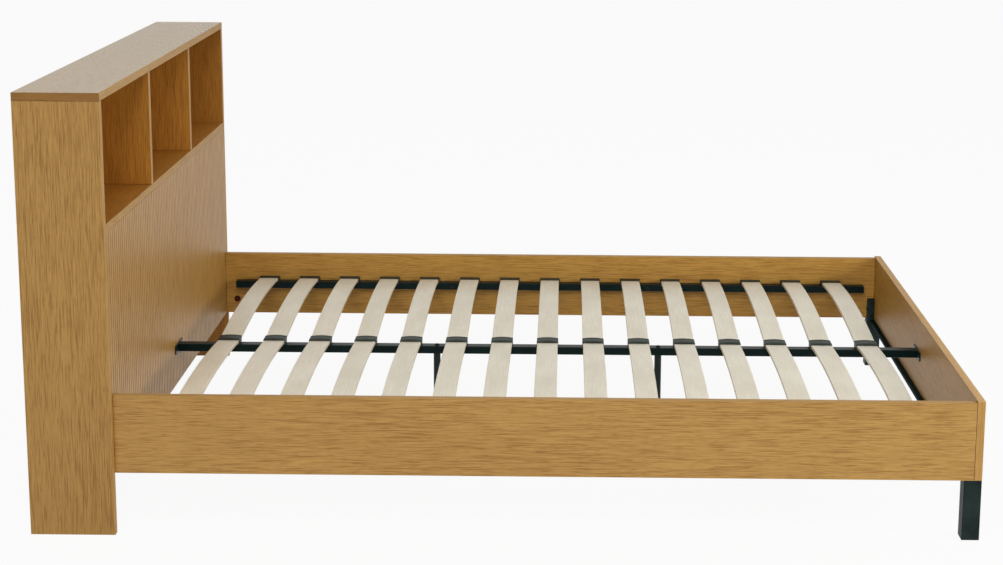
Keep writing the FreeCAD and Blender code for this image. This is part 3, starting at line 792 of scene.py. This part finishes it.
def model_cap():
    """Cap for a slat's outer end; its mouth faces -Y at the origin and its seat is at zero height."""
    half_width, long, inner_height, outer_height = 0.0288, 0.034, 0.0169, 0.01375
    mouth_floor, mouth_end, mouth_fall = 0.0057, 0.031, 0.0031
    lip_back, lip_drop, peg_place = 0.018, 0.0014, 0.030
    cap = add_block("cap_model", Vector((-half_width, 0, 0)), Vector((half_width, long, inner_height)))
    with editing(cap, "FACE"):
        open_mouth(-Y, mouth_floor, Y * mouth_end - Z * mouth_fall)
    with editing(cap, "VERT"):
        pick("verts", lambda vertex: vertex.co.y > long - LEVEL and vertex.co.z > outer_height)
        move(Z * (outer_height - inner_height))
        pick("verts", lambda vertex: vertex.co.y < LEVEL and vertex.co.z > inner_height - LEVEL)
        move(Y * lip_back - Z * lip_drop)
    with editing(cap, "FACE"):
        add_rib(start=0.024, end=0.0255, top=0.012, rise=0.0005)
    bevel_sharp(cap, radius=0.0006, angle=40)
    cap = add_peg(cap, Y * peg_place)
    paint(cap, moulded_plastic())
    return smooth(cap)


def model_clip():
    """Double clip for two slats' inner ends over the centre rail, its top crowned along X."""
    half_width, half_long, side_height, crown = 0.0277, 0.0205, 0.015, 0.0025
    mouth_floor, mouth_depth, mouth_fall = 0.0045, 0.0170, 0.0017
    rib_middle, half_rib, rib_rise = 0.0135, 0.0009, 0.0006
    shares = [step / 6 for step in range(-5, 6)]
    clip = add_block("clip_model", Vector((-half_width, -half_long, 0)),
                     Vector((half_width, half_long, side_height)))
    with editing(clip, "FACE"):
        for outwards in (-Y, Y):
            open_mouth(outwards, mouth_floor, -outwards * mouth_depth - Z * mouth_fall)
        for share in shares:
            split_at(X * half_width * share, X)
    with editing(clip, "VERT"):
        for share in shares:
            pick("verts", lambda vertex: vertex.co.z > side_height - LEVEL
                 and abs(vertex.co.x - half_width * share) < LEVEL)
            move(Z * crown * (1 - share ** 2))
    with editing(clip, "FACE"):
        for middle in (-rib_middle, rib_middle):
            add_rib(middle - half_rib, middle + half_rib, top=side_height - 0.0005, rise=rib_rise)
    bevel_sharp(clip, radius=0.0006, angle=40)
    clip = add_peg(clip, Vector())
    paint(clip, moulded_plastic())
    return smooth(clip)


class BED_OT_slat_caps(bpy.types.Operator):
    """Make one slat cap and copy it to both bearers"""
    bl_idname = "bed.slat_caps"
    bl_label = "Slat Caps"
    bl_options = {"REGISTER", "UNDO"}

    def execute(self, context):
        model = model_cap()
        mouth = 0.657
        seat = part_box("slat_bearer_right")[1].z
        half_turn = Matrix.Rotation(math.pi, 4, "Z")
        caps = []
        for middle in slat_middles():
            caps.append(copy_to(model, "cap", Matrix.Translation((middle.x, mouth, seat))))
            caps.append(copy_to(model, "cap", Matrix.Translation((middle.x, -mouth, seat)) @ half_turn))
        stand_for(join("slat_end_caps_moulded", caps), ["slat_end_caps"])
        discard(model)
        return {"FINISHED"}


class BED_OT_slat_clips(bpy.types.Operator):
    """Make one double clip and copy it along the centre rail"""
    bl_idname = "bed.slat_clips"
    bl_label = "Centre Clips"
    bl_options = {"REGISTER", "UNDO"}

    def execute(self, context):
        model = model_clip()
        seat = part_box("centre_rail")[1].z
        clips = [copy_to(model, "clip", Matrix.Translation((middle.x, 0, seat))) for middle in slat_middles()]
        stand_for(join("centre_slat_clips_moulded", clips), ["centre_slat_clips"])
        discard(model)
        return {"FINISHED"}


# ---- steel ----

def dress_tube(node, axis, coat):
    """Tube of a CAD node's size, open at its two ends, with rounded long edges and a wall."""
    tube = add_block(f"{node}_tube", *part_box(node))
    with editing(tube, "FACE"):
        pick("faces", lambda face: abs(face.normal.dot(axis)) > 0.99)
        bpy.ops.mesh.delete(type="ONLY_FACE")
    with editing(tube, "EDGE"):
        pick("edges", lambda edge: runs_along(edge, axis))
        bevel_selected(sizes().tube_corner, segments=4)
    use_modifier(tube, "SOLIDIFY", thickness=sizes().tube_wall, offset=-1, use_even_offset=True)
    paint(tube, coat)
    smooth(tube)
    stand_for(tube, [node])


class BED_OT_bearers(bpy.types.Operator):
    """Make the two slat bearers and the centre rail of rectangular tube"""
    bl_idname = "bed.bearers"
    bl_label = "Bearers and Centre Rail"
    bl_options = {"REGISTER", "UNDO"}

    def execute(self, context):
        for node in ("slat_bearer_left", "slat_bearer_right", "centre_rail"):
            dress_tube(node, X, rail_coat())
        return {"FINISHED"}


def dress_bracket(node, inwards):
    """Screwed plate with the tongue that carries the centre rail."""
    low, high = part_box(node)
    plate_thick, tongue_width, tongue_height = 0.003, 0.027, 0.017
    reach = high.x - low.x - plate_thick
    if inwards.x > 0:
        plate = add_block(f"{node}_plate", low, high - X * reach)
    else:
        plate = add_block(f"{node}_plate", low + X * reach, high)
    with editing(plate, "FACE"):
        faces_towards(inwards)
        push(Vector())
        stretch(1, tongue_width / (high.y - low.y), tongue_height / (high.z - low.z))
        push(inwards * reach)
    with editing(plate, "EDGE"):
        pick("edges", lambda edge: runs_along(edge, X) and abs(edge.verts[0].co.y) > high.y - LEVEL)
        bevel_selected(radius=0.004, segments=4)
    bevel_sharp(plate, radius=0.0005)
    paint(plate, rail_coat())
    smooth(plate)
    stand_for(plate, [node])


class BED_OT_rail_brackets(bpy.types.Operator):
    """Make the brackets that hold the centre rail to the headboard and the footboard"""
    bl_idname = "bed.rail_brackets"
    bl_label = "Rail Brackets"
    bl_options = {"REGISTER", "UNDO"}

    def execute(self, context):
        dress_bracket("head_rail_bracket", X)
        dress_bracket("foot_rail_bracket", -X)
        return {"FINISHED"}


def foot_of(node):
    """Middle of a CAD node's underside."""
    low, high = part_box(node)
    return Vector(((low.x + high.x) / 2, (low.y + high.y) / 2, low.z))


def dress_centre_leg(node):
    """Round tube with a plug in its foot, bored for the levelling screw."""
    radius, wall, bore = cad_span(node, X) / 2, sizes().tube_wall, 0.0044
    plug_sunk, bore_depth = 0.0006, 0.052
    leg = add_bar(f"{node}_tube", radius, foot_of(node), cad_span(node, Z), corners=48)
    with editing(leg, "FACE"):
        faces_towards(-Z)
        bpy.ops.mesh.inset(thickness=wall)
        push(Z * plug_sunk)
        bpy.ops.mesh.inset(thickness=radius - wall - bore)
        push(Z * bore_depth)
    bevel_sharp(leg, radius=0.0004)
    paint(leg, powder_coat())
    smooth(leg)
    stand_for(leg, [node])


class BED_OT_centre_legs(bpy.types.Operator):
    """Make the two round legs under the centre rail"""
    bl_idname = "bed.centre_legs"
    bl_label = "Centre Legs"
    bl_options = {"REGISTER", "UNDO"}

    def execute(self, context):
        dress_centre_leg("centre_leg_head")
        dress_centre_leg("centre_leg_foot")
        return {"FINISHED"}


def turn_thread(name, radius, foot, height):
    """Threaded bar: one groove of the thread, repeated, and closed at both ends."""
    pitch, root_share = sizes().thread_pitch, 0.87
    deselect_all()
    bpy.ops.mesh.primitive_circle_add(vertices=24, radius=radius, location=foot)
    thread = named(name)
    with editing(thread, "EDGE"):
        bpy.ops.mesh.select_all(action="SELECT")
        draw_edges(Z * pitch / 2)
        stretch(root_share, root_share, 1)
        draw_edges(Z * pitch / 2)
        stretch(1 / root_share, 1 / root_share, 1)
    grooves = int(height / pitch)
    use_modifier(thread, "ARRAY", count=grooves, use_relative_offset=False,
                 use_constant_offset=True, constant_offset_displace=(0, 0, pitch),
                 use_merge_vertices=True, merge_threshold=0.00002)
    with editing(thread, "EDGE"):
        for level in (foot.z, foot.z + grooves * pitch):
            pick("edges", lambda edge: all(abs(vertex.co.z - level) < LEVEL for vertex in edge.verts))
            bpy.ops.mesh.edge_face_add()
    close_seams(thread)
    return thread


def dress_levelling_foot(node):
    """Disc, hexagon and threaded stud on which a centre leg stands."""
    disc_radius, disc_height = 0.016, 0.005
    hexagon_radius, hexagon_height = 0.0075, 0.006
    stud_radius, stud_start = 0.004, disc_height + hexagon_height
    foot = foot_of(node)
    disc = add_bar(f"{node}_disc", disc_radius, foot, disc_height, corners=48)
    bevel_sharp(disc, radius=0.0016, segments=4)
    hexagon = add_bar(f"{node}_hexagon", hexagon_radius, foot + Z * disc_height, hexagon_height, corners=6)
    bevel_sharp(hexagon, radius=0.0005)
    stud = turn_thread(f"{node}_stud", stud_radius, foot + Z * stud_start, cad_span(node, Z) - stud_start)
    piece = join(f"{node}_turned", [disc, hexagon, stud])
    paint(piece, zinc())
    smooth(piece, angle=25)
    stand_for(piece, [node], body=node)


class BED_OT_levelling_feet(bpy.types.Operator):
    """Make the levelling feet that screw into the centre legs"""
    bl_idname = "bed.levelling_feet"
    bl_label = "Levelling Feet"
    bl_options = {"REGISTER", "UNDO"}

    def execute(self, context):
        dress_levelling_foot("levelling_foot_head")
        dress_levelling_foot("levelling_foot_foot")
        return {"FINISHED"}


def dress_front_leg(node):
    """Square leg whose slimmer post rises inside the corner of the boards."""
    low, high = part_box(node)
    post, post_wall, post_depth = 0.020, 0.002, 0.055
    post_foot = Vector((LEG_POST.x, math.copysign(LEG_POST.y, low.y), LEG_POST.z))
    leg = add_block(f"{node}_tube", low, Vector((high.x, high.y, LEG_POST.z)))
    with editing(leg, "FACE"):
        faces_towards(Z)
        middle = middle_of_selection()
        push(Vector())
        stretch(post / (high.x - low.x), post / (high.y - low.y), 1)
        move(post_foot - middle)
        push(Z * (high.z - LEG_POST.z))
        bpy.ops.mesh.inset(thickness=post_wall)
        push(-Z * post_depth)
    with editing(leg, "EDGE"):
        pick("edges", lambda edge: runs_along(edge, Z))
        bevel_selected(radius=0.0018, segments=3)
    bevel_sharp(leg, radius=0.0005, angle=60)
    paint(leg, powder_coat(shine=0.05, tint=colours().leg_steel))
    smooth(leg)
    stand_for(leg, [node])


class BED_OT_front_legs(bpy.types.Operator):
    """Make the square legs at the foot and the flat bar between them"""
    bl_idname = "bed.front_legs"
    bl_label = "Front Legs"
    bl_options = {"REGISTER", "UNDO"}

    def execute(self, context):
        dress_front_leg("front_leg_left")
        dress_front_leg("front_leg_right")
        dress_tube("leg_cross_bar", Y, powder_coat(shine=0.04, rough=(0.6, 0.7)))
        return {"FINISHED"}


# ---- fasteners ----

def sink_socket(head_height, corners, radius, waist):
    """Sink a tool's socket into an open head: a ring bridged to the rim, drawn down and closed."""
    depth = 0.6 * head_height
    bpy.ops.mesh.primitive_circle_add(vertices=corners, radius=radius, location=Z * head_height)
    pick("verts", lambda vertex: vertex.is_wire and abs(abs(vertex.co.x) - abs(vertex.co.y)) < TOUCH)
    bpy.ops.transform.resize(value=(waist, waist, 1), center_override=Z * head_height)
    pick("edges", lambda edge: edge.is_wire or edge.is_boundary)
    bpy.ops.mesh.bridge_edge_loops()
    pick("edges", lambda edge: edge.is_boundary)
    draw_edges(-Z * depth)
    bpy.ops.mesh.edge_face_add()


def turn_fastener(head_radius, head_height, shank_radius, shank_length, tip, socket):
    """Screw or bolt with the seat of its domed head at the origin and its shank down -Z."""
    dome_share, dome_drop = 0.72, 0.45 * head_height
    shank_share, point = shank_radius / head_radius, 2 * shank_radius
    body = add_bar("fastener_model", head_radius, Vector(), head_height, corners=24)
    with editing(body, "FACE"):
        faces_towards(-Z)
        push(Vector())
        stretch(shank_share, shank_share, 1)
        push(-Z * (shank_length - point))
        push(-Z * point)
        stretch(tip, tip, 1)
        faces_towards(Z)
        push(Vector())
        stretch(dome_share, dome_share, 1)
        bpy.ops.mesh.delete(type="ONLY_FACE")
    with editing(body, "VERT"):
        pick("verts", lambda vertex: abs(vertex.co.z - head_height) < TOUCH
             and vertex.co.xy.length > 0.9 * head_radius)
        move(-Z * dome_drop)
        sink_socket(head_height, **socket)
    close_seams(body)
    paint(body, powder_coat())
    return smooth(body, angle=25)


def turn_bolt(long):
    """Bolt with a six-sided socket."""
    return turn_fastener(head_radius=0.006, head_height=0.003, shank_radius=0.003, shank_length=long,
                         tip=0.8, socket={"corners": 6, "radius": 0.0025, "waist": 1.0})


def turn_screw(long):
    """Pointed wood screw with a cross socket."""
    return turn_fastener(head_radius=0.0045, head_height=0.002, shank_radius=0.00225, shank_length=long,
                         tip=0.25, socket={"corners": 8, "radius": 0.0022, "waist": 0.42})


def towards(direction):
    """Turn that points a fastener's shank in a direction."""
    return (-direction).to_track_quat("Z", "Y").to_matrix().to_4x4()


def drive(model, seats):
    """Copy a fastener to each seat, driven in its direction."""
    copies = [copy_to(model, "fastener", Matrix.Translation(seat) @ towards(direction))
              for seat, direction in seats]
    discard(model)
    return copies


class BED_OT_bolts(bpy.types.Operator):
    """Make the bolts that hold the side rails and the centre legs"""
    bl_idname = "bed.bolts"
    bl_label = "Bolts"
    bl_options = {"REGISTER", "UNDO"}

    def execute(self, context):
        bolt_seat, bolt_line = -0.892, 0.711
        leg_places, rail_top = (-0.201, 0.373), 0.242
        rail_seats = [(Vector((bolt_seat, side * bolt_line, RAIL_NUT.z)), X) for side in (-1, 1)]
        leg_seats = [(Vector((x, 0, rail_top)), -Z) for x in leg_places]
        bolts = drive(turn_bolt(0.055), rail_seats) + drive(turn_bolt(0.040), leg_seats)
        stand_for(join("frame_bolts_turned", bolts), ["frame_bolts"])
        return {"FINISHED"}


class BED_OT_screws(bpy.types.Operator):
    """Make the screws of the bearers, the brackets, the leg posts and the cross bar"""
    bl_idname = "bed.screws"
    bl_label = "Screws"
    bl_options = {"REGISTER", "UNDO"}

    def execute(self, context):
        bearer_places, bearer_face = (-0.779, -0.20233, 0.37433, 0.951), 0.672
        outer_heights, middle_height, half_post = (0.152, 0.188), 0.170, 0.010
        head_plate, foot_plate, bracket_line = -0.871, 1.043, 0.033
        bar_middle, bar_foot = 1.055, 0.128
        bearer_seats, post_seats, bracket_seats = [], [], []
        for side in (-1, 1):
            bearer_seats += [(Vector((x, side * bearer_face, TUBE_MIDDLE)), Y * side) for x in bearer_places]
            post_seats += [(Vector((LEG_POST.x, side * (LEG_POST.y - half_post), z)), Y * side)
                           for z in outer_heights]
            post_seats.append((Vector((LEG_POST.x - half_post, side * LEG_POST.y, middle_height)), X))
            bracket_seats += [(Vector((plate, side * bracket_line, TUBE_MIDDLE)), direction)
                              for plate, direction in ((head_plate, -X), (foot_plate, X))]
        bar_seats = [(Vector((bar_middle, y, bar_foot)), Z) for y in (-0.450, 0, 0.450)]
        screws = []
        for long, seats in ((0.042, bearer_seats), (0.032, post_seats), (0.015, bracket_seats),
                            (0.024, bar_seats)):
            screws += drive(turn_screw(long), seats)
        stand_for(join("frame_screws_turned", screws), ["frame_screws"])
        return {"FINISHED"}


class BED_OT_barrel_nuts(bpy.types.Operator):
    """Make the slotted barrel nuts that the rail bolts screw into, and their covers"""
    bl_idname = "bed.barrel_nuts"
    bl_label = "Barrel Nuts"
    bl_options = {"REGISTER", "UNDO"}

    def execute(self, context):
        radius, long, half_slot, slot_depth = 0.005, 0.014, 0.0008, 0.0015
        cover_radius, cover_lift, cover_height = 0.0095, 0.0001, 0.0012
        model = add_bar("barrel_nut_model", radius, -Z * long, long)
        with editing(model, "FACE"):
            split_at(-X * half_slot, X)
            split_at(X * half_slot, X)
            pick("faces", lambda face: face.normal.z > 0.9
                 and abs(face.calc_center_median().x) < half_slot / 2)
            push(-Z * slot_depth)
        bevel_sharp(model, radius=0.0003, segments=1, angle=50)
        paint(model, powder_coat())
        cover = add_bar("barrel_nut_cover", cover_radius, Z * cover_lift, cover_height)
        bevel_sharp(cover, radius=0.0005)
        paint(cover, cover_plastic())
        model = smooth(join(model.name, [model, cover]))
        nuts = drive(model, [(Vector((RAIL_NUT.x, side * RAIL_NUT.y, RAIL_NUT.z)), Y * side)
                             for side in (-1, 1)])
        stand_for(join("barrel_nuts_turned", nuts), ["barrel_nuts"])
        return {"FINISHED"}


class BED_OT_dowels(bpy.types.Operator):
    """Give the hidden dowels their wood"""
    bl_idname = "bed.dowels"
    bl_label = "Dowels"
    bl_options = {"REGISTER", "UNDO"}

    def execute(self, context):
        paint(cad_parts["panel_dowels"], beech())
        return {"FINISHED"}


# ---- stage ----

def add_lamp(name, place, aim, side, power):
    """Soft square lamp that shines at a point."""
    deselect_all()
    turn = (aim - place).to_track_quat("-Z", "Y").to_euler()
    bpy.ops.object.light_add(type="AREA", location=place, rotation=turn)
    lamp = bpy.context.object
    lamp.name = lamp.data.name = name
    lamp.data.size = side
    lamp.data.energy = power
    lamp.visible_camera = False


def white_floor():
    """Pale floor that the camera sees as the white of the surroundings, under a faint shadow."""
    glow_share = 0.93
    finish = Finish("white_floor")
    finish.set(Base_Color=(0.7, 0.7, 0.7), Roughness=0.9)
    glow = finish.add("ShaderNodeEmission", {"Color": (1, 1, 1), "Strength": 1.0})
    seen = finish.math("MAXIMUM", finish.add("ShaderNodeLightPath", output="Is Camera Ray"),
                       finish.add("ShaderNodeLightPath", output="Is Glossy Ray"))
    seen = finish.math("MULTIPLY", seen, glow_share)
    mixed = finish.add("ShaderNodeMixShader", {0: seen, 1: finish.surface.outputs[0], 2: glow})
    finish.feed(finish.tree.nodes["Material Output"].inputs["Surface"], mixed)
    return finish.material


def white_surroundings(settings):
    """World that the camera sees as white, and that lights the bed more from behind than from before."""
    world = bpy.data.worlds.new("white_surroundings")
    world.use_nodes = True
    nodes, links = world.node_tree.nodes, world.node_tree.links
    nodes["Background"].inputs["Color"].default_value = (1, 1, 1, 1)
    direction = nodes.new("ShaderNodeSeparateXYZ")
    links.new(nodes.new("ShaderNodeTexCoord").outputs["Generated"], direction.inputs[0])
    daylight = nodes.new("ShaderNodeMapRange")
    daylight.interpolation_type = "SMOOTHSTEP"
    for socket, value in (("From Min", 0.2), ("From Max", 0.9), ("To Min", settings.daylight_before),
                          ("To Max", settings.daylight_behind)):
        daylight.inputs[socket].default_value = value
    links.new(direction.outputs["Y"], daylight.inputs["Value"])
    seen = nodes.new("ShaderNodeMapRange")
    seen.inputs["To Max"].default_value = 1
    links.new(nodes.new("ShaderNodeLightPath").outputs["Is Camera Ray"], seen.inputs["Value"])
    links.new(daylight.outputs[0], seen.inputs["To Min"])
    links.new(seen.outputs[0], nodes["Background"].inputs["Strength"])
    return world


class BED_OT_stage(bpy.types.Operator):
    """Make the floor, the white surroundings, the two lamps and the camera"""
    bl_idname = "bed.stage"
    bl_label = "Studio"
    bl_options = {"REGISTER", "UNDO"}

    def execute(self, context):
        settings = context.scene.bed_stage
        deselect_all()
        bpy.ops.mesh.primitive_plane_add(size=settings.floor)
        floor = named("studio_floor")
        paint(floor, white_floor())
        context.scene.world = white_surroundings(settings)
        add_lamp("key_lamp", place=Vector((-0.9, -6.4, 5.0)), aim=Vector((0.1, 0, 0.3)), side=4.5,
                 power=settings.key_power)
        add_lamp("side_lamp", place=Vector((4.5, -2.0, 1.8)), aim=Vector((-0.8, 0, 0.5)), side=1.6,
                 power=settings.side_power)
        deselect_all()
        bpy.ops.object.camera_add(location=settings.camera_place, rotation=settings.camera_turn)
        camera = context.object
        camera.name = camera.data.name = "camera"
        camera.data.lens = settings.lens
        camera.data.shift_x, camera.data.shift_y = settings.camera_shift
        context.scene.camera = camera
        context.scene.view_settings.view_transform = "Standard"
        return {"FINISHED"}


# ---- panel and run ----

STEPS = (BED_OT_headboard_boards, BED_OT_fluted_panel, BED_OT_rails, BED_OT_slats, BED_OT_slat_caps,
         BED_OT_slat_clips, BED_OT_bearers, BED_OT_rail_brackets, BED_OT_centre_legs, BED_OT_levelling_feet,
         BED_OT_front_legs, BED_OT_bolts, BED_OT_screws, BED_OT_barrel_nuts, BED_OT_dowels, BED_OT_stage)


class BED_PT_workshop(bpy.types.Panel):
    """Lists the bed's settings and the steps that make it"""
    bl_idname = "BED_PT_workshop"
    bl_label = "Bookcase Headboard Bed"
    bl_space_type = "VIEW_3D"
    bl_region_type = "UI"
    bl_category = "Bed"

    def draw(self, context):
        scene = context.scene
        for group in (scene.bed_sizes, scene.bed_colours, scene.bed_stage):
            box = self.layout.box()
            for name in group.__annotations__:
                box.prop(group, name)
        for step in STEPS:
            self.layout.operator(step.bl_idname)


CLASSES = (BedSizes, BedColours, BedStage, *STEPS, BED_PT_workshop)


def register():
    for item in CLASSES:
        bpy.utils.register_class(item)
    bpy.types.Scene.bed_sizes = bpy.props.PointerProperty(type=BedSizes)
    bpy.types.Scene.bed_colours = bpy.props.PointerProperty(type=BedColours)
    bpy.types.Scene.bed_stage = bpy.props.PointerProperty(type=BedStage)


def unregister():
    del bpy.types.Scene.bed_stage
    del bpy.types.Scene.bed_colours
    del bpy.types.Scene.bed_sizes
    for item in reversed(CLASSES):
        bpy.utils.unregister_class(item)


def main():
    """Make the whole bed and its studio."""
    register()
    for step in STEPS:
        getattr(bpy.ops.bed, step.bl_idname.split(".")[1])()


if __name__ == "__main__":
    main()
